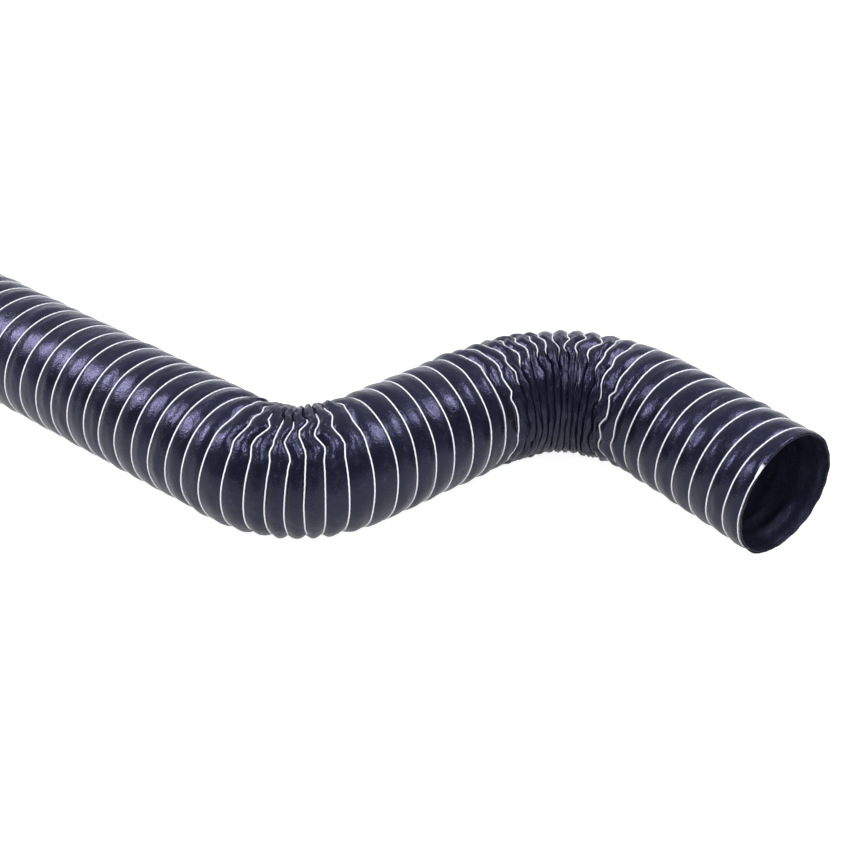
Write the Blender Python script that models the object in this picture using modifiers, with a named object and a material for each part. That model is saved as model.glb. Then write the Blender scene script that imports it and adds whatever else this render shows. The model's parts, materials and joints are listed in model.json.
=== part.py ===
"""Flexible air duct: double-ply neoprene-coated fabric hose, 102 mm bore, laid on a floor in an S.

From the bore outwards the duct is four pieces: an inner ply, a spring-steel wire helix, an outer ply
and a white cord wound over the outer ply, halfway between the wire's turns. Each is divided where the
duct is allowed to flex: stiff segments, each about one bore long or less, alternate with flex zones.
"""
import math

import bmesh
import bpy
import numpy as np

# Driving dimensions, in metres and degrees
LENGTH = 1.0
BORE_RADIUS = 0.051
PLY_THICKNESS = 0.0005
WIRE_RADIUS = 0.0006
CORD_RADIUS = 0.0004
LAYER_GAP = 0.0003
END_GAP = 0.0005
WINDING_MARGIN = 0.002

# The lie of the duct in plan: the tail's heading, then the bends as (start, length, turn)
TAIL_HEADING = -39.0
BENDS = (
    (0.427, 0.141, 77.0),
    (0.662, 0.219, -90.0),
)

# Spacing of the turns along the centreline, and where they are gathered: (middle, half width, depth, power).
# The bends and the mouth are gathered, and the tail run is drawn out.
TAIL_PITCH = 0.0214
MOUTH_PITCH = 0.0188
GATHERS = (
    (0.496, 0.049, 0.0109, 2),
    (0.743, 0.076, 0.0083, 4),
    (1.000, 0.014, 0.0055, 2),
    (0.140, 0.110, -0.0022, 2),
)
CORD_END_ANGLE = -16.0

# Where each flex zone starts and ends along the centreline
FLEX_ZONES = (
    (0.090, 0.160),
    (0.245, 0.315),
    (0.420, 0.487),
    (0.508, 0.575),
    (0.668, 0.738),
    (0.765, 0.840),
    (0.898, 0.956),
)

SIDES = 12
MAX_RING_TURN = 7.0
ROUTE_STEP = 0.0005

# Layers, as distances from the axis to the middle of a flat
FLAT_TO_CORNER = 1.0 / math.cos(math.pi / SIDES)
INNER_PLY_AT = BORE_RADIUS
WIRE_AT = INNER_PLY_AT + PLY_THICKNESS + LAYER_GAP + WIRE_RADIUS
OUTER_PLY_AT = WIRE_AT + WIRE_RADIUS + LAYER_GAP
CORD_AT = OUTER_PLY_AT + PLY_THICKNESS + LAYER_GAP + CORD_RADIUS
AXIS_HEIGHT = CORD_AT + CORD_RADIUS

MATERIALS = {
    "neoprene_outer": ((0.018, 0.018, 0.024, 1.0), 0.45, 0.0),
    "neoprene_inner": ((0.010, 0.010, 0.012, 1.0), 0.60, 0.0),
    "spring_steel": ((0.420, 0.420, 0.430, 1.0), 0.35, 1.0),
    "white_cord": ((0.780, 0.770, 0.740, 1.0), 0.80, 0.0),
}


def smooth_step(t):
    """Rise from 0 to 1 over t = 0 to 1, with level ends."""
    t = np.clip(t, 0.0, 1.0)
    return t * t * (3.0 - 2.0 * t)


def heading(s):
    """Direction of the centreline in plan at arc length s, in radians from +X."""
    degrees = TAIL_HEADING + sum(turn * smooth_step((s - start) / length) for start, length, turn in BENDS)
    return np.radians(degrees)


def pitch(s):
    """Spacing of the turns along the centreline at arc length s."""
    gathered = sum(
        depth * np.exp(-np.abs((s - middle) / half_width) ** power)
        for middle, half_width, depth, power in GATHERS
    )
    return TAIL_PITCH + (MOUTH_PITCH - TAIL_PITCH) * s / LENGTH - gathered


def running_sum(rate):
    """Integral of a rate sampled at the route's steps, by the trapezium rule."""
    return np.concatenate([[0.0], np.cumsum(0.5 * (rate[1:] + rate[:-1])) * ROUTE_STEP])


# The centreline at fine steps: its plan position and the number of turns wound so far
ROUTE_S = np.linspace(0.0, LENGTH, round(LENGTH / ROUTE_STEP) + 1)
ROUTE_X = running_sum(np.cos(heading(ROUTE_S)))
ROUTE_Y = running_sum(np.sin(heading(ROUTE_S)))
ROUTE_TURNS = running_sum(1.0 / pitch(ROUTE_S))


def zones():
    """Stiff segments and flex zones from tail to mouth, as (kind, number, start, end)."""
    result = []
    start = 0.0
    for number, (flex_start, flex_end) in enumerate(FLEX_ZONES, 1):
        result.append(("ply", number, start, flex_start))
        result.append(("flex", number, flex_start, flex_end))
        start = flex_end
    result.append(("ply", len(FLEX_ZONES) + 1, start, LENGTH))
    return result


def ring_stations():
    """Arc lengths of the rings that shape the duct: the zone ends, and more where it bends."""
    stations = [0.0]
    for _, _, start, end in zones():
        s = np.linspace(start, end, 50)
        turning = np.degrees(np.abs(np.diff(heading(s))).sum())
        count = max(1, math.ceil(turning / MAX_RING_TURN))
        stations.extend(np.linspace(start, end, count + 1)[1:])
    return np.array(stations)


RINGS = ring_stations()


def ring_point(s, angle, flat_distance):
    """Point on the ring at arc length s; angle runs from the top towards the left-hand side."""
    radius = flat_distance * FLAT_TO_CORNER
    side = math.sin(angle) * radius
    course = float(heading(s))
    return np.array([
        np.interp(s, ROUTE_S, ROUTE_X) - math.sin(course) * side,
        np.interp(s, ROUTE_S, ROUTE_Y) + math.cos(course) * side,
        math.cos(angle) * radius,
    ])


def duct_point(s, angle, flat_distance):
    """Point at arc length s on the straight line between the rings on either side of it."""
    after = int(np.clip(np.searchsorted(RINGS, s), 1, len(RINGS) - 1))
    before = after - 1
    share = (s - RINGS[before]) / (RINGS[after] - RINGS[before])
    near = ring_point(RINGS[before], angle, flat_distance)
    far = ring_point(RINGS[after], angle, flat_distance)
    return near + (far - near) * share


def corner_angles():
    """Angles of the section's corners, with a flat at the top, the bottom and both sides."""
    return [2.0 * math.pi * (k + 0.5) / SIDES for k in range(SIDES)]


def plan_middle():
    """Middle of the duct's box in plan, which becomes the origin."""
    points = [ring_point(s, angle, CORD_AT) for s in RINGS for angle in corner_angles()]
    low = np.min(points, axis=0)
    high = np.max(points, axis=0)
    return (low + high) / 2.0


PLAN_MIDDLE = plan_middle()


def placed(s, angle, flat_distance):
    """Point of the duct in the part's own frame: floor at 0, origin under the middle of its box."""
    x, y, z = duct_point(s, angle, flat_distance)
    return (x - PLAN_MIDDLE[0], y - PLAN_MIDDLE[1], z + AXIS_HEIGHT)


def make_material(name):
    """Principled material with the piece's colour, roughness and metallic value."""
    color, roughness, metallic = MATERIALS[name]
    material = bpy.data.materials.new(name)
    material.use_nodes = True
    shader = material.node_tree.nodes["Principled BSDF"]
    shader.inputs["Base Color"].default_value = color
    shader.inputs["Roughness"].default_value = roughness
    shader.inputs["Metallic"].default_value = metallic
    material.diffuse_color = color
    return material


def add_object(collection, name, data, material):
    """Link a mesh or curve to the collection as a named object with its own material."""
    data.materials.append(material)
    piece = bpy.data.objects.new(name, data)
    collection.objects.link(piece)
    return piece


def add_ply(collection, name, start, end, flat_distance, material):
    """One ply over a stretch of the duct: a ring drawn out along the route, then thickened outwards."""
    first = start + END_GAP / 2.0
    last = end - END_GAP / 2.0
    stations = [first, *[s for s in RINGS if first < s < last], last]
    bm = bmesh.new()
    ring = bmesh.ops.create_circle(bm, segments=SIDES, radius=flat_distance)["verts"]
    edges = list(bm.edges)
    for vertex, angle in zip(ring, corner_angles()):
        vertex.co = placed(stations[0], angle, flat_distance)
    for s in stations[1:]:
        drawn = bmesh.ops.extrude_edge_only(bm, edges=edges)["geom"]
        edges = [item for item in drawn if isinstance(item, bmesh.types.BMEdge)]
        ring = [item for item in drawn if isinstance(item, bmesh.types.BMVert)]
        for vertex, angle in zip(ring, corner_angles()):
            vertex.co = placed(s, angle, flat_distance)
    bmesh.ops.recalc_face_normals(bm, faces=bm.faces)
    mesh = bpy.data.meshes.new(name)
    bm.to_mesh(mesh)
    bm.free()
    mesh.shade_smooth()
    piece = add_object(collection, name, mesh, material)
    shell = piece.modifiers.new("ply_thickness", "SOLIDIFY")
    shell.thickness = PLY_THICKNESS
    shell.offset = 1.0
    shell.use_even_offset = True
    return piece


def helix_stations(half_turn):
    """Winding stations at the section's corners, as (arc length, angle), from tail to mouth.

    The winding is left-handed: going towards the mouth it passes from the top to the left-hand side.
    """
    total = ROUTE_TURNS[-1]
    end_angle = math.radians(CORD_END_ANGLE) + (math.pi if half_turn else 0.0)
    start_angle = end_angle - 2.0 * math.pi * total
    step = 2.0 * math.pi / SIDES
    first = math.ceil((start_angle - step / 2.0) / step)
    last = math.floor((end_angle - step / 2.0) / step)
    stations = []
    for index in range(first, last + 1):
        angle = (index + 0.5) * step
        turns = (angle - start_angle) / (2.0 * math.pi)
        s = float(np.interp(turns, ROUTE_TURNS, ROUTE_S))
        if WINDING_MARGIN < s < LENGTH - WINDING_MARGIN:
            stations.append((s, angle))
    return stations


def add_winding(collection, prefix, half_turn, flat_distance, radius, material):
    """A wound wire or cord, divided at the start of each stiff segment."""
    stations = helix_stations(half_turn)
    ends = [0.0, *[flex_end for _, flex_end in FLEX_ZONES], LENGTH]
    for number, (start, end) in enumerate(zip(ends[:-1], ends[1:]), 1):
        inside = [k for k, (s, _) in enumerate(stations) if start <= s < end]
        points = [np.array(placed(*stations[k], flat_distance)) for k in inside]
        if inside[0] > 0:
            join = np.array(placed(*stations[inside[0] - 1], flat_distance))
            along = points[0] - join
            points.insert(0, join + along * (2.0 * END_GAP / np.linalg.norm(along)))
        curve = bpy.data.curves.new(f"{prefix}_{number}", "CURVE")
        curve.dimensions = "3D"
        curve.bevel_depth = radius
        curve.bevel_resolution = 0
        curve.use_fill_caps = True
        spline = curve.splines.new("POLY")
        spline.points.add(len(points) - 1)
        for spot, point in zip(spline.points, points):
            spot.co = (*point, 1.0)
        add_object(collection, f"{prefix}_{number}", curve, material)


def main():
    for item in list(bpy.data.objects):
        bpy.data.objects.remove(item)
    collection = bpy.data.collections.new("flexible_air_duct")
    bpy.context.scene.collection.children.link(collection)
    materials = {name: make_material(name) for name in MATERIALS}
    for kind, number, start, end in zones():
        add_ply(collection, f"inner_{kind}_{number}", start, end, INNER_PLY_AT, materials["neoprene_inner"])
        add_ply(collection, f"outer_{kind}_{number}", start, end, OUTER_PLY_AT, materials["neoprene_outer"])
    add_winding(collection, "wire_helix", True, WIRE_AT, WIRE_RADIUS, materials["spring_steel"])
    add_winding(collection, "white_cord", False, CORD_AT, CORD_RADIUS, materials["white_cord"])


main()
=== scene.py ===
import json
import math

import bpy
import numpy as np
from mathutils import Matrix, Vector


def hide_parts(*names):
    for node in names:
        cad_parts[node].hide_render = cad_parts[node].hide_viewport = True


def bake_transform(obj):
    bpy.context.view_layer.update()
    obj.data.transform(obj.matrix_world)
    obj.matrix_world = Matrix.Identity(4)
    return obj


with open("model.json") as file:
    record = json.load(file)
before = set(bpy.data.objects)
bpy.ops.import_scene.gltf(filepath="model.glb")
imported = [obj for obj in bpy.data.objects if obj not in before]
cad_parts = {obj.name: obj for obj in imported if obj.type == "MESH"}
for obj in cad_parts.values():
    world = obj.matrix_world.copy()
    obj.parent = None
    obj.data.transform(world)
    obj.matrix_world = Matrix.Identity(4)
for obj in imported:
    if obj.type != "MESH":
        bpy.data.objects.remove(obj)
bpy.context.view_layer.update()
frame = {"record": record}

# ---------------------------------------------------------------------------------------------
# The route, as in the CAD model: headings, pitch of the winding and where the turns are gathered
# ---------------------------------------------------------------------------------------------
LENGTH = 1.0
TAIL_HEADING = -39.0                                    # degrees
# each bend: start and length on the centreline (m), and turn (degrees)
BENDS = ((0.427, 0.141, 77.0), (0.662, 0.219, -90.0))
TAIL_PITCH = 0.0214
MOUTH_PITCH = 0.0188
# each gather: middle and reach (m), fall of the pitch (m), and how abruptly it begins
MOUTH_GATHER = (1.000, 0.014, 0.0055, 2)
GATHERS = ((0.496, 0.049, 0.0109, 2), (0.743, 0.076, 0.0083, 4),
           MOUTH_GATHER, (0.140, 0.110, -0.0022, 2))
CORD_END = math.radians(-16.0)                          # where the cord ends on the mouth's rim
AXIS_HEIGHT = 0.0549
CREST = 0.0549
STEP = 0.0005
FULL_TURN = 2.0 * math.pi

# Fabric in one turn, measured along the hose, and what holds it
FABRIC_PER_TURN = 0.0210
PLY = 0.0005
WIRE_RADIUS = 0.0006
CORD_HALF_WIDTH = 0.00060
CORD_HALF_THICKNESS = 0.00050
CORD_TWIST = 190.0                                      # turns of its strands in a metre

# The outer surface: valleys below the crest, and how far the cloth may stand proud of it
SHALLOWEST_VALLEY = 0.0010
DEEPEST_VALLEY = 0.0037
SLIT_DEPTH = 0.0026
SLIT_WIDTH = 0.020                                      # of a turn
PLEAT_HEIGHT = 0.0013
MOST_PROUD = 0.0016
LEAST_PITCH = 0.0015                                    # on the inner side of a bend
LEAST_SLACK = 2e-6                                      # square metres, under the root

# Unevenness of the cloth, in metres: at each scale, where it is taut and how much slack adds
BROAD_HEIGHT = (0.00022, 0.00030)
FINE_HEIGHT = (0.00006, 0.00010)
SAG_HEIGHT = 0.00022

# The mouth's end, which nothing holds round: where it starts and how long it is, how far it
# goes out of round, and the shape of the two cuts
FREE_END = (0.955, 0.045)
OUT_OF_ROUND = 0.0005
RIM_RIPPLE = 0.00003
MOUTH_BACK, MOUTH_BACK_AT_TOP, MOUTH_RAGGED = 0.0006, 0.0014, 0.00024
TAIL_BACK, TAIL_RAGGED = 0.0008, 0.0005

# How high the cord lies above the valley's bottom, and what it gains by bridging an open one
CORD_LOW = 0.00036
CORD_BRIDGE = 0.00060

# Where the cord and the wire start and stop on the centreline, and the wire's play in the ply
CORD_REACH = (0.0030, 0.9985)
WIRE_REACH = (0.0045, 0.9955)
WIRE_PLAY = 0.0001

# The inner ply lies this far below the outer surface, in the valleys and at the crests
INNER_GAP = (0.0011, 0.0021)

# Lowest points above the floor
CLOTH_CLEARANCE = 0.0002
CORD_CLEARANCE = 0.00015

# Windings that the meshes and the kinks cover, counted back from the mouth
FIRST_WINDING, LAST_WINDING = -61, 1
FIRST_KINK, LAST_KINK = -64, 4

# Where the visual pieces meet, along the centreline
CUTS = (0.0, 0.2025, 0.345, 0.4975, 0.6215, 0.7515, 0.885, 1.0)
LAST = len(CUTS) - 2


def smooth(t):
    t = np.clip(t, 0.0, 1.0)
    return t * t * (3.0 - 2.0 * t)


def heading(s):
    return np.radians(TAIL_HEADING + sum(turn * smooth((s - a) / n) for a, n, turn in BENDS))


def curvature(s):
    total = 0.0
    for start, length, turn in BENDS:
        t = np.clip((s - start) / length, 0.0, 1.0)
        total = total + math.radians(turn) * 6.0 * t * (1.0 - t) / length
    return total


def free_pitch(s):
    return TAIL_PITCH + (MOUTH_PITCH - TAIL_PITCH) * s / LENGTH


def pitch(s):
    return free_pitch(s) - sum(d * np.exp(-np.abs((s - m) / w) ** p) for m, w, d, p in GATHERS)


def running_sum(rate):
    return np.concatenate([[0.0], np.cumsum(0.5 * (rate[1:] + rate[:-1])) * STEP])


ROUTE_S = np.linspace(0.0, LENGTH, round(LENGTH / STEP) + 1)
ROUTE_X = running_sum(np.cos(heading(ROUTE_S)))
ROUTE_Y = running_sum(np.sin(heading(ROUTE_S)))
ROUTE_T = running_sum(1.0 / pitch(ROUTE_S))
TURNS = ROUTE_T[-1]

# The frame's two end faces say where the route lies in plan
mounts = {m["name"]: m["pos_m"] for m in frame["record"]["mounts"]}
mouth_at, tail_at = mounts["mouth_cut_end"], mounts["tail_cut_end"]
SHIFT_X = 0.5 * (mouth_at[0] + tail_at[0] - ROUTE_X[-1] - ROUTE_X[0])
SHIFT_Y = 0.5 * (mouth_at[1] + tail_at[1] - ROUTE_Y[-1] - ROUTE_Y[0])


def station(turns):
    """Arc length at which that many turns are wound, running on beyond both ends."""
    s = np.interp(turns, ROUTE_T, ROUTE_S)
    return s + np.minimum(turns, 0.0) * TAIL_PITCH + np.maximum(turns - TURNS, 0.0) * MOUTH_PITCH


def centre(s):
    x = np.interp(s, ROUTE_S, ROUTE_X) + SHIFT_X
    y = np.interp(s, ROUTE_S, ROUTE_Y) + SHIFT_Y
    return x, y


def place(s, angle, radius):
    """Points of the duct: angle runs from the top towards the left-hand side."""
    x, y = centre(s)
    h = heading(s)
    side = np.sin(angle) * radius
    z = np.maximum(np.cos(angle) * radius + AXIS_HEIGHT, CLOTH_CLEARANCE)
    return np.stack([x - np.sin(h) * side, y + np.cos(h) * side, z], -1)


def from_top(angle):
    """The angle from the top, between half a turn back and half a turn on."""
    return (angle + math.pi) % FULL_TURN - math.pi


# ---------------------------------------------------------------------------------------------
# Seeded noise on the tube
# ---------------------------------------------------------------------------------------------
def waves(seed, count, along, around):
    """Sum of random waves on the tube: wavelength along it and around it, in metres."""
    rng = np.random.default_rng(seed)
    spread = rng.normal(size=(count, 3))
    k = np.stack([spread[:, 0] * FULL_TURN / along * 0.7,
                  spread[:, 1] * FULL_TURN / around * 0.7,
                  spread[:, 2] * FULL_TURN / around * 0.7], 1)
    phase = rng.uniform(0.0, FULL_TURN, count)

    def value(s, angle):
        y, z = np.cos(angle) * CREST, np.sin(angle) * CREST
        total = np.zeros(np.broadcast(s, angle).shape)
        for (a, b, c), p in zip(k, phase):
            total += np.sin(a * s + b * y + c * z + p)
        return total / math.sqrt(count / 2.0)

    return value


def kinks(seed, per_turn):
    """A broken line along the winding, straight between corners at uneven spacing."""
    rng = np.random.default_rng(seed)
    n = (LAST_KINK - FIRST_KINK) * per_turn
    at = FIRST_KINK + (np.arange(n) + rng.uniform(-0.3, 0.3, n)) / per_turn
    sign = np.where(np.arange(n) % 2 == 0, 1.0, -1.0)
    to = sign * rng.uniform(0.25, 1.0, n) + rng.normal(0.0, 0.25, n)
    return lambda winding: np.interp(winding, at, to)


# seeds, numbers of kinks in a turn, and for the waves their number and their wavelengths
OWN_KINKS = kinks(11, 25)
LONG_KINKS = kinks(31, 12)
COMMON = waves(12, 14, 0.060, 0.030)
SWAY = waves(13, 12, 0.070, 0.120)
BROAD = waves(21, 22, 0.030, 0.045)
FINE = waves(22, 26, 0.010, 0.016)
PLEATS = waves(23, 24, 0.0068, 0.110)
PLEAT_GATE = waves(24, 18, 0.020, 0.045)
SAG = waves(25, 16, 0.0150, 0.060)
RIM = waves(26, 12, 0.50, 0.060)
RIM_FINE = waves(27, 12, 0.50, 0.014)
# where a bend's loose turns meet its packed ones: middle and reach on the centreline, and the
# two angles from the top where every winding buckles, towards the middle and away from it
BUCKLES = ((0.4955, 0.020, -0.26, -0.60), (0.745, 0.036, -0.20, 0.12))
BUCKLE_REACH = 0.20


def closeness(s, angle):
    """How far the turns are pushed together there, from 0 where they are drawn out to near 1
    where they are packed tight, and the pitch there."""
    # the last winding lies close to the cut, but the cloth there isn't gathered
    middle, width, depth, power = MOUTH_GATHER
    even = pitch(s) + depth * np.exp(-np.abs((s - middle) / width) ** power)
    local = even * (1.0 - curvature(s) * CREST * np.sin(angle))
    return 1.0 - local / free_pitch(s), np.maximum(local, LEAST_PITCH)


def winding_offset(c, angle):
    """How far the windings wander from an even helix, in turns."""
    k = np.floor(c)
    f = c - k
    s = station(c + (angle - CORD_END) / FULL_TURN + TURNS)
    g, _ = closeness(s, angle)
    lift = 0.31 * smooth((g - 0.20) / 0.20) * (1.0 - 0.72 * smooth((g - 0.56) / 0.18))
    at = k + angle / FULL_TURN
    own = OWN_KINKS(at) * (1.0 - f) + OWN_KINKS(at + 1.0) * f
    long = LONG_KINKS(at) * (1.0 - f) + LONG_KINKS(at + 1.0) * f
    long_lift = 0.018 + 0.12 * smooth((g - 0.17) / 0.17) * (1.0 - smooth((g - 0.5) / 0.1))
    wander = lift * (0.62 * own + 0.40 * COMMON(s, angle)) + 0.024 * SWAY(s, angle) * (1.0 - lift)
    wander = wander + long_lift * long
    turned = from_top(angle)
    for middle, reach, first, second in BUCKLES:
        side = np.tanh((middle - s) / reach) * np.exp(-((s - middle) / (2.0 * reach)) ** 4)
        near = np.clip(1.0 - np.abs(turned - first) / BUCKLE_REACH, 0.0, 1.0)
        beyond = np.clip(1.0 - np.abs(turned - second) / BUCKLE_REACH, 0.0, 1.0)
        wander = wander + side * (0.30 * near - 0.20 * beyond)
    return wander


def skin(c, angle):
    """Arc length and radius of the outer surface. c counts windings: the cord lies in the valley
    where c is whole, and the wire holds the crest half way between."""
    turns = c + (angle - CORD_END) / FULL_TURN + TURNS + winding_offset(c, angle)
    s = station(turns)
    g, local = closeness(s, angle)
    # the cloth of a turn has a fixed length, so a valley deepens as the turns close up
    slack = 0.5 * np.sqrt(np.maximum(FABRIC_PER_TURN ** 2 - local ** 2, LEAST_SLACK))
    depth = SHALLOWEST_VALLEY + slack * (0.16 + 0.30 * smooth(g / 0.20))
    depth = np.minimum(np.minimum(depth, DEEPEST_VALLEY), 0.44 * local)
    f = c - np.floor(c)
    arch = np.abs(np.sin(math.pi * f))
    lobe = arch ** (0.82 - 0.30 * smooth((g - 0.44) / 0.14))
    radius = CREST - depth * (1.0 - lobe)
    # a packed valley closes over its cord: only a slit is left
    slit = np.exp(-(np.minimum(f, 1.0 - f) / SLIT_WIDTH) ** 2)
    radius = radius - SLIT_DEPTH * smooth((g - 0.50) / 0.07) * slit
    # slack cloth between the wires and the cord
    loose = smooth(g / 0.4)
    radius = radius + lobe * (BROAD_HEIGHT[0] + BROAD_HEIGHT[1] * loose) * BROAD(s, angle)
    radius = radius + lobe * (FINE_HEIGHT[0] + FINE_HEIGHT[1] * loose) * FINE(s, angle)
    radius = radius + lobe * SAG_HEIGHT * SAG(s, angle)
    # pleats that run round the hose where the turns are pushed together, and fade out
    gate = smooth((g - 0.32) / 0.18) * (1.0 - 0.7 * smooth((g - 0.60) / 0.2))
    gate = gate * smooth(0.5 + 0.6 * PLEAT_GATE(s, angle))
    crease = 1.0 - np.abs(PLEATS(s, angle))
    radius = radius + lobe * gate * PLEAT_HEIGHT * np.clip(crease, -1.0, 1.0)
    # the cut end, where nothing holds the cloth round
    free = smooth((s - FREE_END[0]) / FREE_END[1])
    radius = radius + free * (OUT_OF_ROUND * RIM(s, angle) + RIM_RIPPLE * RIM_FINE(s, angle))
    return s, np.minimum(radius, CREST + MOST_PROUD)


# Wrinkles inside the mouth: arc length, angle, width, reach round the hose (radians), height
INNER_WRINKLES = ((0.9800, math.radians(155.0), 0.0040, 0.30, 0.0040),
                  (0.9630, math.radians(165.0), 0.0030, 0.22, 0.0030))


def ragged(s, angle):
    """The unevenness of a cut end, without its few largest peaks."""
    return np.clip(RIM_FINE(s, angle), -1.3, 1.3)


def mouth_cut(angle):
    """Arc length of the uneven cut round the mouth, which lies back a little at the top."""
    top = np.exp(-((np.abs(from_top(angle))) / 0.8) ** 2)
    return LENGTH - MOUTH_BACK - MOUTH_BACK_AT_TOP * top + MOUTH_RAGGED * ragged(0.0, angle)


def tail_cut(angle):
    return TAIL_BACK + TAIL_RAGGED * ragged(0.4, angle)


# ---------------------------------------------------------------------------------------------
# Mesh making
# ---------------------------------------------------------------------------------------------
def new_mesh(name, points, faces, uv, material, attributes=None):
    """faces: (n, 4) corner numbers, with -1 as the last corner of a triangle; uv: (n, 4, 2)."""
    mesh = bpy.data.meshes.new(name)
    keep = faces >= 0
    counts = keep.sum(1)
    corners = faces[keep]
    starts = np.concatenate([[0], np.cumsum(counts)[:-1]])
    mesh.vertices.add(len(points))
    mesh.vertices.foreach_set("co", np.asarray(points, np.float32).ravel())
    mesh.loops.add(len(corners))
    mesh.loops.foreach_set("vertex_index", corners.astype(np.int32))
    mesh.polygons.add(len(faces))
    mesh.polygons.foreach_set("loop_start", starts.astype(np.int32))
    mesh.polygons.foreach_set("use_smooth", np.ones(len(faces), bool))
    if uv is not None:
        layer = mesh.uv_layers.new(name="cloth")
        layer.uv.foreach_set("vector", uv[keep].astype(np.float32).ravel())
    for label, values in (attributes or {}).items():
        layer = mesh.attributes.new(label, "FLOAT", "POINT")
        layer.data.foreach_set("value", np.asarray(values, np.float32))
    mesh.update(calc_edges=True)
    mesh.validate()
    mesh.materials.append(material)
    piece = bpy.data.objects.new(name, mesh)
    bpy.context.scene.collection.objects.link(piece)
    return piece


def tidy_faces(faces, uv):
    """Drops repeated corners, so that a squeezed quad becomes a triangle or goes."""
    same = faces == np.roll(faces, -1, axis=1)
    spare = same.sum(1)
    good = spare == 0
    out_faces, out_uv = [faces[good]], [uv[good]]
    rows = np.nonzero(spare == 1)[0]
    if len(rows):
        tri_faces = np.full((len(rows), 4), -1, faces.dtype)
        tri_uv = np.zeros((len(rows), 4, 2))
        for n, row in enumerate(rows):
            corners = [i for i in range(4) if not same[row, i]]
            tri_faces[n, :3] = faces[row, corners]
            tri_uv[n, :3] = uv[row, corners]
        distinct = ((tri_faces[:, 0] != tri_faces[:, 1]) & (tri_faces[:, 1] != tri_faces[:, 2])
                    & (tri_faces[:, 0] != tri_faces[:, 2]))
        out_faces.append(tri_faces[distinct])
        out_uv.append(tri_uv[distinct])
    return np.concatenate(out_faces), np.concatenate(out_uv)


def tube_quads(rings, around):
    """The quads of a tube, and the ring and the corner that each starts from."""
    i, j = np.meshgrid(np.arange(rings - 1), np.arange(around), indexing="ij")
    i, j = i.ravel(), j.ravel()
    nxt = (j + 1) % around
    quads = np.stack([i * around + j, i * around + nxt, (i + 1) * around + nxt,
                      (i + 1) * around + j], 1)
    return quads, i, j


def faces_out(verts, faces):
    """Whether the faces look away from the centreline, judged at one of them."""
    p0, p1, p2 = verts[faces[len(faces) // 3, :3]]
    nearest = np.argmin((ROUTE_X + SHIFT_X - p0[0]) ** 2 + (ROUTE_Y + SHIFT_Y - p0[1]) ** 2)
    axis_point = np.array([ROUTE_X[nearest] + SHIFT_X, ROUTE_Y[nearest] + SHIFT_Y, AXIS_HEIGHT])
    return float(np.dot(np.cross(p1 - p0, p2 - p0), p0 - axis_point)) > 0.0


def turn_over(faces, uv):
    """Turns every face over, in place. A triangle keeps its -1 in the last corner."""
    quad = faces[:, 3] >= 0
    for rows in (faces, uv):
        rows[quad] = rows[quad][:, ::-1]
        rows[~quad, :3] = rows[~quad][:, 2::-1]


def below_skin(radius, winding, s, angle, gap):
    """Radius of a ply that lies below the outer surface by gap: in the valleys, at the crests."""
    if not gap:
        return radius
    arch = np.abs(np.sin(math.pi * winding)) ** 0.5
    radius = radius - gap[0] - (gap[1] - gap[0]) * arch
    for at, middle, width, reach, height in INNER_WRINKLES:
        ridge = np.exp(-((s - at) / width) ** 2 - ((angle - middle) / reach) ** 2)
        radius = radius - height * ridge
    return radius


def cut_ring(n, c, angle, grid_s, gap):
    """Arc lengths, windings and radii round the hose at the n-th cut."""
    if n == 0:
        ring_s = tail_cut(angle)
    elif n == len(CUTS) - 1:
        ring_s = mouth_cut(angle)
    else:
        ring_s = np.full(len(angle), CUTS[n])
    ring_c = np.array([np.interp(ring_s[j], grid_s[:, j], c) for j in range(len(angle))])
    _, ring_r = skin(ring_c, angle)
    return ring_s, ring_c, below_skin(ring_r, ring_c, ring_s, angle, gap)


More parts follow.
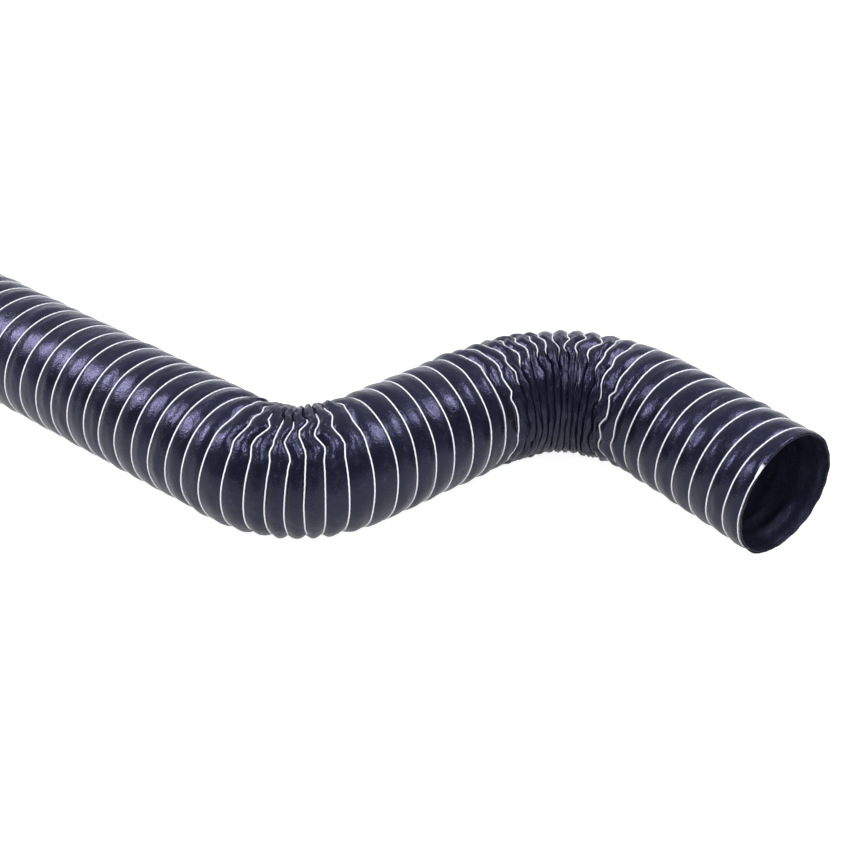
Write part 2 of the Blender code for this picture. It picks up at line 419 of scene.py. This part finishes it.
def ply_pieces(prefix, per_turn, around, gap, inward, material):
    """One ply as seven pieces. Rows follow the windings, so every valley is a row of its own."""
    within = np.arange(per_turn) / per_turn
    within = within - 0.42 * np.sin(FULL_TURN * within) / FULL_TURN
    c = np.concatenate([[k + within] for k in range(FIRST_WINDING, LAST_WINDING)], 0).ravel()
    angle = np.arange(around + 1) * FULL_TURN / around
    grid_c, grid_a = np.meshgrid(c, angle, indexing="ij")
    grid_s, grid_r = skin(grid_c, grid_a)
    # rows never run back, so that a cut crosses each column once
    grid_s = np.maximum.accumulate(grid_s + np.arange(len(c))[:, None] * 1e-8, axis=0)
    rings = [cut_ring(n, c, angle, grid_s, gap) for n in range(len(CUTS))]
    points = place(grid_s, grid_a, below_skin(grid_r, grid_c, grid_s, grid_a, gap))
    snap = 0.12 * TAIL_PITCH / per_turn
    made = []
    for k in range(LAST + 1):
        low, high = rings[k], rings[k + 1]
        below = grid_s <= low[0] + snap
        above = grid_s >= high[0] - snap
        inside = ~below & ~above
        # corner numbers: first the lower ring, then the upper one, then the rows between; the
        # last column is the first one a turn further on
        ids = np.full(grid_s.shape, -1, np.int64)
        column = np.tile(np.arange(around + 1) % around, (len(c), 1))
        ids[below] = column[below]
        ids[above] = around + column[above]
        core = inside[:, :around]
        ids[:, :around][core] = 2 * around + np.arange(core.sum())
        rows = np.nonzero(inside[:, around])[0]
        ids[rows, around] = ids[rows + per_turn, 0]
        uv_c = np.where(below, low[1][None, :], np.where(above, high[1][None, :], grid_c))
        uv = np.stack([grid_a / FULL_TURN, uv_c], -1)
        rows = np.nonzero(inside.any(1))[0]
        lo_row, hi_row = max(rows[0] - 1, 0), min(rows[-1] + 1, len(c) - 1)
        i, j = np.meshgrid(np.arange(lo_row, hi_row), np.arange(around), indexing="ij")
        i, j = i.ravel(), j.ravel()
        pick = ((i, j), (i, j + 1), (i + 1, j + 1), (i + 1, j))
        faces = np.stack([ids[p] for p in pick], 1)
        face_uv = np.stack([uv[p] for p in pick], 1)
        on_low = (faces < around).all(1)
        on_high = ((faces >= around) & (faces < 2 * around)).all(1)
        real = ~(on_low | on_high)
        faces, face_uv = tidy_faces(faces[real], face_uv[real])
        low_points, high_points = (place(r[0], angle, r[2])[:around] for r in (low, high))
        verts = np.concatenate([low_points, high_points, points[:, :around][core]])
        windings = (low[1][:around], high[1][:around], grid_c[:, :around][core])
        crest = np.concatenate([np.abs(np.sin(math.pi * w)) for w in windings])
        # the cut edge of the cloth, as thick as the ply
        for end, ring, is_cut in ((0, low, k == 0), (1, high, k == LAST)):
            if not is_cut:
                continue
            lip = place(ring[0], angle, ring[2] + (PLY if inward else -PLY))[:around]
            base = len(verts)
            verts = np.concatenate([verts, lip])
            crest = np.concatenate([crest, np.ones(around)])
            j = np.arange(around)
            a, b = end * around + j, end * around + (j + 1) % around
            x, y = base + (j + 1) % around, base + j
            edge = np.stack([a, b, x, y] if end else [b, a, y, x], 1)
            edge_uv = np.zeros((around, 4, 2))
            edge_uv[:, :, 0] = (j / around)[:, None]
            edge_uv[:, 2:, 1] = 0.02
            faces = np.concatenate([faces, edge])
            face_uv = np.concatenate([face_uv, edge_uv])
        if faces_out(verts, faces) == inward:
            turn_over(faces, face_uv)
        name = f"{prefix}_{k + 1}"
        made.append(new_mesh(name, verts, faces, face_uv, material, {"crest": crest}))
    return made


def cord_rise(s, angle):
    """The cord bridges the bottom of an open valley, and is buried in a closed one."""
    g, _ = closeness(s, angle)
    return CORD_LOW + CORD_BRIDGE * smooth(g / 0.3) * (1.0 - smooth((g - 0.46) / 0.08))


def winding_path(half, step, start, stop):
    """Arc lengths, angles and radii along the cord's winding (half 0) or the wire's (0.5)."""
    per_turn = math.ceil(FULL_TURN * CREST / step)
    n = int((TURNS + 3) * per_turn)
    w = np.arange(n) / per_turn - TURNS - 2.0
    k = np.floor(w)
    angle = (w - k) * FULL_TURN
    s, r = skin(k + half, angle)
    ok = (s > start) & (s < stop)
    return s[ok], angle[ok], r[ok]


def tube_pieces(s, angle, radius, section):
    """Sweeps section(n) -> (n, m, 2) offsets across and out along a winding, cut at CUTS.
    Returns the pieces' corners, faces and UVs, and the path with its three directions."""
    line = place(s, angle, radius)
    tangent = np.gradient(line, axis=0)
    tangent /= np.linalg.norm(tangent, axis=1)[:, None]
    h = heading(s)
    out = np.stack([-np.sin(h) * np.sin(angle), np.cos(h) * np.sin(angle), np.cos(angle)], -1)
    out -= (out * tangent).sum(1)[:, None] * tangent
    out /= np.linalg.norm(out, axis=1)[:, None]
    across = np.cross(tangent, out)
    travelled = np.concatenate([[0.0], np.cumsum(np.linalg.norm(np.diff(line, axis=0), axis=1))])
    shape = section(travelled)
    around = shape.shape[1]
    points = line[:, None] + across[:, None] * shape[:, :, :1] + out[:, None] * shape[:, :, 1:]
    marks = [0] + [int(np.argmin(np.abs(s - at))) for at in CUTS[1:-1]] + [len(s) - 1]
    made = []
    for a, b in zip(marks[:-1], marks[1:]):
        verts = points[a:b + 1].reshape(-1, 3)
        verts[:, 2] = np.maximum(verts[:, 2], CORD_CLEARANCE)
        faces, i, j = tube_quads(b - a + 1, around)
        t = travelled[a:b + 1]
        corners = ((j, i), (j + 1, i), (j + 1, i + 1), (j, i + 1))
        uv = np.stack([np.stack([col / around, t[row]], -1) for col, row in corners], 1)
        # each end is closed by a fan round its middle
        for row, flip in ((0, False), (b - a, True)):
            hub = len(verts)
            verts = np.concatenate([verts, line[None, a + row]])
            j0 = np.arange(around)
            ring_a, ring_b = row * around + j0, row * around + (j0 + 1) % around
            cap = np.stack([np.full(around, hub), ring_a if flip else ring_b,
                            ring_b if flip else ring_a, np.full(around, -1)], 1)
            faces = np.concatenate([faces, cap])
            uv = np.concatenate([uv, np.zeros((around, 4, 2))])
        made.append((verts, faces, uv))
    return made, line, out, across, tangent


# ---------------------------------------------------------------------------------------------
# Materials
# ---------------------------------------------------------------------------------------------
def node(tree, kind, **settings):
    made = tree.nodes.new(kind)
    for key, value in settings.items():
        if key in made.inputs:
            made.inputs[key].default_value = value
        else:
            setattr(made, key, value)
    return made


def maths(tree, operation, a, b=None, clamp=False):
    made = tree.nodes.new("ShaderNodeMath")
    made.operation = operation
    made.use_clamp = clamp
    for n, value in enumerate((a, b)):
        if value is None:
            continue
        if isinstance(value, (int, float)):
            made.inputs[n].default_value = value
        else:
            tree.links.new(value, made.inputs[n])
    return made.outputs[0]


def ramp(tree, value, stops):
    made = tree.nodes.new("ShaderNodeValToRGB")
    made.color_ramp.elements[0].position = stops[0][0]
    made.color_ramp.elements[0].color = stops[0][1]
    made.color_ramp.elements[1].position = stops[-1][0]
    made.color_ramp.elements[1].color = stops[-1][1]
    for position, colour in stops[1:-1]:
        made.color_ramp.elements.new(position).color = colour
    tree.links.new(value, made.inputs[0])
    return made.outputs[0]


def mix(tree, factor, a, b):
    made = tree.nodes.new("ShaderNodeMix")
    made.data_type = "RGBA"
    for socket, value in ((made.inputs[0], factor), (made.inputs[6], a), (made.inputs[7], b)):
        if isinstance(value, (int, float, tuple)):
            socket.default_value = value
        else:
            tree.links.new(value, socket)
    return made.outputs[2]


def new_material(name, **values):
    """A material, its node tree and its shader, with values on the shader's own sockets."""
    material = bpy.data.materials.new(name)
    material.use_nodes = True
    shader = material.node_tree.nodes["Principled BSDF"]
    for key, value in values.items():
        shader.inputs[key.replace("_", " ")].default_value = value
    return material, material.node_tree, shader


def noise(tree, where, scale, detail, roughness=0.5):
    texture = node(tree, "ShaderNodeTexNoise", Scale=scale, Detail=detail, Roughness=roughness)
    tree.links.new(where.outputs["Object"], texture.inputs["Vector"])
    return texture.outputs[0]


def bump(tree, height, distance, strength=1.0, under=None):
    made = node(tree, "ShaderNodeBump", Strength=strength, Distance=distance)
    tree.links.new(height, made.inputs["Height"])
    if under is not None:
        tree.links.new(under, made.inputs["Normal"])
    return made.outputs[0]


def cloth_uv(tree):
    """Turns round the piece, and windings or metres along it."""
    uv = node(tree, "ShaderNodeUVMap", uv_map="cloth")
    split = node(tree, "ShaderNodeSeparateXYZ")
    tree.links.new(uv.outputs[0], split.inputs[0])
    return split.outputs[0], split.outputs[1]


# pairs of yarns round the hose and in a turn: one yarn each 0.75 mm
YARNS_ROUND = 230
YARNS_IN_TURN = 14


def coated_cloth(name, dark, light, roughness, weave_depth, sheen, level, tint):
    """Woven glass-fibre cloth under a thin black coating: the weave shows through the coating."""
    material, tree, shader = new_material(
        name, Specular_Tint=tint, IOR=1.52, Specular_IOR_Level=level, Sheen_Weight=sheen,
        Sheen_Roughness=0.45, Sheen_Tint=(0.55, 0.56, 0.85, 1.0))
    turned, wound = cloth_uv(tree)
    su = maths(tree, "SINE", maths(tree, "MULTIPLY", turned, FULL_TURN * YARNS_ROUND))
    sv = maths(tree, "SINE", maths(tree, "MULTIPLY", wound, FULL_TURN * YARNS_IN_TURN))
    product = maths(tree, "MULTIPLY", su, sv)
    ridges = maths(tree, "ADD", maths(tree, "ABSOLUTE", su), maths(tree, "ABSOLUTE", sv))
    weave = maths(tree, "ADD", maths(tree, "MULTIPLY", product, 0.5),
                  maths(tree, "MULTIPLY", ridges, 0.35))
    where = node(tree, "ShaderNodeTexCoord")
    grain = noise(tree, where, 900.0, 3.0, 0.65)
    patch = noise(tree, where, 38.0, 4.0, 0.6)
    cloud = noise(tree, where, 9.0, 3.0, 0.55)
    scuff = noise(tree, where, 150.0, 5.0, 0.7)
    pebble = noise(tree, where, 700.0, 1.5, 0.5)
    crest = node(tree, "ShaderNodeAttribute", attribute_name="crest").outputs["Fac"]
    # colour: navy black, cloudier grey where the coating is thin, paler on rubbed crests
    tone = ramp(tree, cloud, ((0.32, dark), (0.68, light)))
    blotch = ramp(tree, patch, ((0.35, (0.75, 0.75, 0.78, 1)), (0.66, (1.25, 1.25, 1.3, 1))))
    coat = node(tree, "ShaderNodeMix", data_type="RGBA", blend_type="MULTIPLY")
    coat.inputs[0].default_value = 1.0
    tree.links.new(tone, coat.inputs[6])
    tree.links.new(blotch, coat.inputs[7])
    rub = maths(tree, "MULTIPLY", maths(tree, "POWER", crest, 6.0),
                ramp(tree, scuff, ((0.52, (0, 0, 0, 1)), (0.72, (1, 1, 1, 1)))))
    rubbed = mix(tree, maths(tree, "MULTIPLY", rub, 0.35), coat.outputs[2],
                 (0.050, 0.050, 0.064, 1))
    valley = maths(tree, "SUBTRACT", 1.0, maths(tree, "POWER", crest, 0.5))
    grey = mix(tree, maths(tree, "MULTIPLY", valley, 0.10), rubbed, (0.022, 0.022, 0.026, 1))
    tree.links.new(grey, shader.inputs["Base Color"])
    # gloss: a satin coating, uneven in blotches and grains, and duller where the crests are rubbed
    uneven = maths(tree, "MULTIPLY", maths(tree, "SUBTRACT", patch, 0.5), 0.20)
    gloss = maths(tree, "ADD", roughness, uneven)
    gloss = maths(tree, "ADD", gloss, maths(tree, "MULTIPLY", rub, 0.14))
    grainy = maths(tree, "MULTIPLY", maths(tree, "SUBTRACT", grain, 0.5), 0.16)
    tree.links.new(maths(tree, "ADD", gloss, grainy, True), shader.inputs["Roughness"])
    # relief: weave and grain, then the dimples of the coating, then its slow unevenness
    height = maths(tree, "ADD", maths(tree, "MULTIPLY", weave, 0.55),
                   maths(tree, "MULTIPLY", grain, 0.9))
    woven = bump(tree, height, weave_depth)
    dimpled = bump(tree, pebble, 0.00028, under=woven)
    tree.links.new(bump(tree, scuff, 0.00014, under=dimpled), shader.inputs["Normal"])
    return material


def cord_material():
    """White glass-fibre cord: three strands in a twist, dirty in places, with painted shade in the
    grooves between the strands.
    """
    material, tree, shader = new_material("white_cord", Sheen_Weight=0.35, Sheen_Roughness=0.5)
    turned, along_it = cloth_uv(tree)
    # fine fibres lying at the twist's angle, three strands to a turn
    turn = maths(tree, "ADD", maths(tree, "MULTIPLY", along_it, FULL_TURN * CORD_TWIST),
                 maths(tree, "MULTIPLY", turned, FULL_TURN * 3.0))
    strand = maths(tree, "ABSOLUTE", maths(tree, "SINE", maths(tree, "MULTIPLY", turn, 0.5)))
    fibre = maths(tree, "SINE", maths(tree, "MULTIPLY", turn, 5.0))
    where = node(tree, "ShaderNodeTexCoord")
    dirt = noise(tree, where, 60.0, 4.0, 0.6)
    fuzz = noise(tree, where, 2600.0, 2.0, 0.6)
    tone = ramp(tree, dirt, ((0.28, (0.84, 0.85, 0.89, 1)), (0.46, (0.94, 0.95, 0.98, 1))))
    # painted shade: the colour greys towards the grooves between the strands
    painted_groove_shade = maths(tree, "MULTIPLY", maths(tree, "SUBTRACT", 1.0, strand), 0.40)
    tree.links.new(mix(tree, painted_groove_shade, tone, (0.60, 0.60, 0.66, 1)), shader.inputs["Base Color"])
    rough = maths(tree, "ADD", 0.62, maths(tree, "MULTIPLY", fuzz, 0.2))
    tree.links.new(rough, shader.inputs["Roughness"])
    height = maths(tree, "ADD", strand, maths(tree, "MULTIPLY", fibre, 0.18))
    height = maths(tree, "ADD", height, maths(tree, "MULTIPLY", fuzz, 0.3))
    tree.links.new(bump(tree, height, 0.00018, 0.8), shader.inputs["Normal"])
    return material


def wire_material():
    """Drawn spring-steel wire, darker in places."""
    material, tree, shader = new_material("spring_steel", Metallic=1.0)
    where = node(tree, "ShaderNodeTexCoord")
    stain = noise(tree, where, 70.0, 4.0, 0.6)
    drawn = noise(tree, where, 1800.0, 2.0)
    colour = ramp(tree, stain, ((0.3, (0.20, 0.19, 0.19, 1)), (0.65, (0.46, 0.46, 0.47, 1))))
    tree.links.new(colour, shader.inputs["Base Color"])
    rough = maths(tree, "ADD", 0.28, maths(tree, "MULTIPLY", stain, 0.25))
    tree.links.new(rough, shader.inputs["Roughness"])
    tree.links.new(bump(tree, drawn, 0.00004, 0.5), shader.inputs["Normal"])
    return material


OUTER_CLOTH = coated_cloth("neoprene_outer", dark=(0.0030, 0.0037, 0.0085, 1),
                           light=(0.0060, 0.0072, 0.0145, 1), roughness=0.21,
                           weave_depth=0.00003, sheen=0.015, level=0.5,
                           tint=(0.66, 0.69, 1.0, 1))
# The inner ply's base colour is paler than the outer's: painted light, which lightens the inside
# of the mouth
INNER_CLOTH = coated_cloth("neoprene_inner", dark=(0.0115, 0.0118, 0.0220, 1),
                           light=(0.0180, 0.0185, 0.0340, 1), roughness=0.28,
                           weave_depth=0.00003, sheen=0.01, level=0.34,
                           tint=(0.70, 0.76, 1.0, 1))
CORD = cord_material()
STEEL = wire_material()

# ---------------------------------------------------------------------------------------------
# The pieces
# ---------------------------------------------------------------------------------------------
# rows in a turn and columns round the hose, for each ply
OUTER_GRID = ((16, 264))
INNER_GRID = ((10, 160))
CORD_SIDES = 10
WIRE_SIDES = 6
CORD_STEP = 0.00145
WIRE_STEP = 0.0028
# the fibres of the cord's loose tip
TIP_FIBRES = 26
TIP_SIDES = 5
TIP_RADIUS = 0.00016
TIP_BACK = 0.004                                        # how far back in the cord they start


def cord_section(travelled):
    """A soft three-strand twist, pressed flat by its own tension."""
    t = np.arange(CORD_SIDES) * FULL_TURN / CORD_SIDES
    twist = 1.0 + 0.11 * np.cos(3.0 * t[None, :] - (travelled * FULL_TURN * CORD_TWIST)[:, None])
    return np.stack([np.cos(t)[None, :] * CORD_HALF_WIDTH * twist,
                     np.sin(t)[None, :] * CORD_HALF_THICKNESS * twist], -1)


def wire_section(travelled):
    t = np.arange(WIRE_SIDES) * FULL_TURN / WIRE_SIDES
    ring = np.stack([np.cos(t), np.sin(t)], -1) * WIRE_RADIUS
    return np.tile(ring, (len(travelled), 1, 1))


def tip_fibre(path, wide, lift, first):
    """A thin tapering tube, closed at both ends; first is the number of its first corner."""
    t = np.arange(TIP_SIDES) * FULL_TURN / TIP_SIDES
    taper = np.linspace(1.0, 0.55, len(path))
    ring = (path[:, None] + wide * (np.cos(t) * TIP_RADIUS)[None, :, None] * taper[:, None, None]
            + lift * (np.sin(t) * TIP_RADIUS)[None, :, None] * taper[:, None, None])
    end = first + (len(path) - 1) * TIP_SIDES
    caps = [[first, first + n + 1, first + n, -1] for n in range(1, TIP_SIDES - 1)]
    caps += [[end, end + n, end + n + 1, -1] for n in range(1, TIP_SIDES - 1)]
    sheath = first + tube_quads(len(path), TIP_SIDES)[0]
    return ring.reshape(-1, 3), np.concatenate([sheath, np.array(caps)])


def loose_tip(strip, tip, ahead, lift, wide):
    """Adds the cord's end at the mouth, untwisted and spread flat, to its last piece."""
    rng = np.random.default_rng(5)
    verts, faces, uv = strip
    # wide is made to point out of the mouth, and the fibres lean back from the cut
    h_end = float(heading(LENGTH))
    if wide @ np.array([math.cos(h_end), math.sin(h_end), 0.0]) < 0.0:
        wide = -wide
    steps = np.linspace(0.0, 1.0, 7)
    for n in range(TIP_FIBRES):
        spread = (n / (TIP_FIBRES - 1.0) - 0.5) * 2.0
        reach = 0.0075 + rng.uniform(-0.0018, 0.0018)
        bend = rng.uniform(-0.25, 0.25)
        rise = rng.uniform(-0.0002, 0.0003)
        path = (tip - ahead * TIP_BACK + ahead[None] * (steps * (reach + TIP_BACK))[:, None]
                + wide[None] * (spread * (0.0007 + 0.0008 * steps) - 0.0008 * steps
                                + bend * 0.0005 * steps ** 2)[:, None]
                + lift[None] * (0.0003 + 0.0004 * steps + rise * steps)[:, None])
        more_verts, more_faces = tip_fibre(path, wide, lift, len(verts))
        verts = np.concatenate([verts, more_verts])
        faces = np.concatenate([faces, more_faces])
        uv = np.concatenate([uv, np.zeros((len(more_faces), 4, 2))])
    return verts, faces, uv


def tube_meshes(prefix, strips, material):
    return [new_mesh(f"{prefix}_{k + 1}", *strip, material) for k, strip in enumerate(strips)]


outer = ply_pieces("outer_cloth", *OUTER_GRID, None, False, OUTER_CLOTH)
inner = ply_pieces("inner_cloth", *INNER_GRID, INNER_GAP, True, INNER_CLOTH)

s, angle, radius = winding_path(0.0, CORD_STEP, *CORD_REACH)
strips, line, out, across, tangent = tube_pieces(s, angle, radius + cord_rise(s, angle),
                                                 cord_section)
strips[-1] = loose_tip(strips[-1], line[-1], tangent[-1], out[-1], across[-1])
cords = tube_meshes("cord", strips, CORD)

s, angle, radius = winding_path(0.5, WIRE_STEP, *WIRE_REACH)
strips, *_ = tube_pieces(s, angle, radius - PLY - WIRE_RADIUS - WIRE_PLAY, wire_section)
wires = tube_meshes("wire", strips, STEEL)


# each piece in a layer, from the tail to the mouth, hides the CAD parts with its number
LAYERS = ((outer, "neoprene_outer", ("outer_ply", "outer_flex")),
          (inner, "neoprene_inner", ("inner_ply", "inner_flex")),
          (wires, "spring_steel", ("wire_helix",)),
          (cords, "white_cord", ("white_cord",)))
for pieces, slot, nodes in LAYERS:
    for k, piece in enumerate(pieces):
        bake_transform(piece)
        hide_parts(*[f"{name}_{k + 1}" for name in nodes])
        if k == LAST:
            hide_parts(f"{nodes[0]}_8")

# ---------------------------------------------------------------------------------------------
# Floor, light and camera
# ---------------------------------------------------------------------------------------------
scene = bpy.context.scene
scene.view_settings.view_transform = "Standard"
scene.view_settings.look = "None"

floor_material, tree, shader = new_material(
    "studio_floor", Base_Color=(0.42, 0.42, 0.42, 1), Roughness=0.9, Specular_IOR_Level=0.1,
    Emission_Color=(1.0, 1.0, 1.0, 1))
# white to the camera, and dimmer to every other ray
glow = node(tree, "ShaderNodeLightPath")
brightness = maths(tree, "ADD", 0.34, maths(tree, "MULTIPLY", glow.outputs["Is Camera Ray"], 0.54))
tree.links.new(brightness, shader.inputs["Emission Strength"])
bpy.ops.mesh.primitive_circle_add(vertices=96, radius=14.0, fill_type="NGON", location=(0, 0, 0))
floor = bpy.context.object
floor.name = "studio_floor"
floor.data.materials.append(floor_material)

world = bpy.data.worlds.new("studio")
scene.world = world
world.use_nodes = True
tree = world.node_tree
background = tree.nodes["Background"]
where = node(tree, "ShaderNodeTexCoord")
split = node(tree, "ShaderNodeSeparateXYZ")
tree.links.new(where.outputs["Generated"], split.inputs[0])
# dim behind the camera, brighter towards the far wall and the ceiling
toward = maths(tree, "ADD", maths(tree, "MULTIPLY", split.outputs[1], 0.36),
               maths(tree, "MULTIPLY", split.outputs[2], 0.30))
sky = ramp(tree, maths(tree, "ADD", toward, 0.36, True), (
    (0.05, (0.05, 0.05, 0.07, 1)), (0.45, (0.13, 0.135, 0.17, 1)), (0.85, (0.56, 0.58, 0.72, 1))))
# the pale wall low down, all round
low = ramp(tree, split.outputs[2], (
    (0.0, (0.38, 0.39, 0.48, 1)), (0.10, (0.30, 0.31, 0.39, 1)),
    (0.24, (0.10, 0.10, 0.13, 1)), (0.42, (0, 0, 0, 1))))
both = node(tree, "ShaderNodeMix", data_type="RGBA", blend_type="ADD")
both.inputs[0].default_value = 1.0
tree.links.new(sky, both.inputs[6])
tree.links.new(low, both.inputs[7])
# plain white behind the object
path = node(tree, "ShaderNodeLightPath")
shown = mix(tree, path.outputs["Is Camera Ray"], both.outputs[2], (1.25, 1.25, 1.25, 1))
tree.links.new(shown, background.inputs["Color"])
background.inputs["Strength"].default_value = 1.0


def area_light(name, target, azimuth, elevation, distance, width, depth, radiance, colour):
    """A softbox that faces target. Azimuth 0 is behind the camera; radiance is its brightness."""
    a, e = math.radians(azimuth), math.radians(elevation)
    back = Vector((math.sin(a) * math.cos(e), -math.cos(a) * math.cos(e), math.sin(e)))
    data = bpy.data.lights.new(name, "AREA")
    data.shape = "RECTANGLE"
    data.size, data.size_y = width, depth
    data.energy = radiance * math.pi * width * depth
    data.color = colour
    lamp = bpy.data.objects.new(name, data)
    lamp.location = Vector(target) + back * distance
    lamp.rotation_mode = "QUATERNION"
    lamp.rotation_quaternion = (-back).to_track_quat("-Z", "Y")
    scene.collection.objects.link(lamp)
    return lamp


# Softboxes to the left, to the right and above, which the coating mirrors as a patch in each
# turn: azimuth, elevation (degrees), width, depth (m) and radiance
SOFTBOXES = (("left_box", -98.0, 41.0, 0.44, 0.52, 18.0),
             ("right_box", 98.0, 52.0, 0.44, 0.52, 16.0),
             ("top_box", 4.0, 68.0, 0.28, 0.30, 26.0))
BOX_DISTANCE = 1.6
BOX_COLOUR = (0.84, 0.80, 1.0)
for name, azimuth, elevation, width, depth, radiance in SOFTBOXES:
    box = area_light(name, (0.0, 0.0, 0.05), azimuth, elevation, BOX_DISTANCE, width, depth,
                     radiance, BOX_COLOUR)
    box.visible_diffuse = False
# a broad sky, which lights the cloth and the floor but isn't mirrored
sun = bpy.data.lights.new("sky_fill", "SUN")
sun.energy = 4.2
sun.angle = math.radians(120.0)
fill = bpy.data.objects.new("sky_fill", sun)
fill.rotation_euler = (math.radians(28.0), 0.0, 0.0)
fill.visible_glossy = False
scene.collection.objects.link(fill)

# The camera, as fitted to the photograph's view
CAMERA_ELEVATION = math.radians(33.6)
CAMERA_DISTANCE = 1.228
AIM = Vector((mouth_at[0] - 0.2916, mouth_at[1] + 0.1011, AXIS_HEIGHT))
camera = bpy.data.cameras.new("camera")
camera.lens = 60.0
camera.sensor_width = 36.0
camera.clip_start = 0.01
camera.clip_end = 100.0
camera_object = bpy.data.objects.new("camera", camera)
scene.collection.objects.link(camera_object)
back = Vector((0.0, -math.cos(CAMERA_ELEVATION), math.sin(CAMERA_ELEVATION)))
camera_object.location = AIM + back * CAMERA_DISTANCE
camera_object.rotation_mode = "QUATERNION"
camera_object.rotation_quaternion = (-back).to_track_quat("-Z", "Y")
scene.camera = camera_object
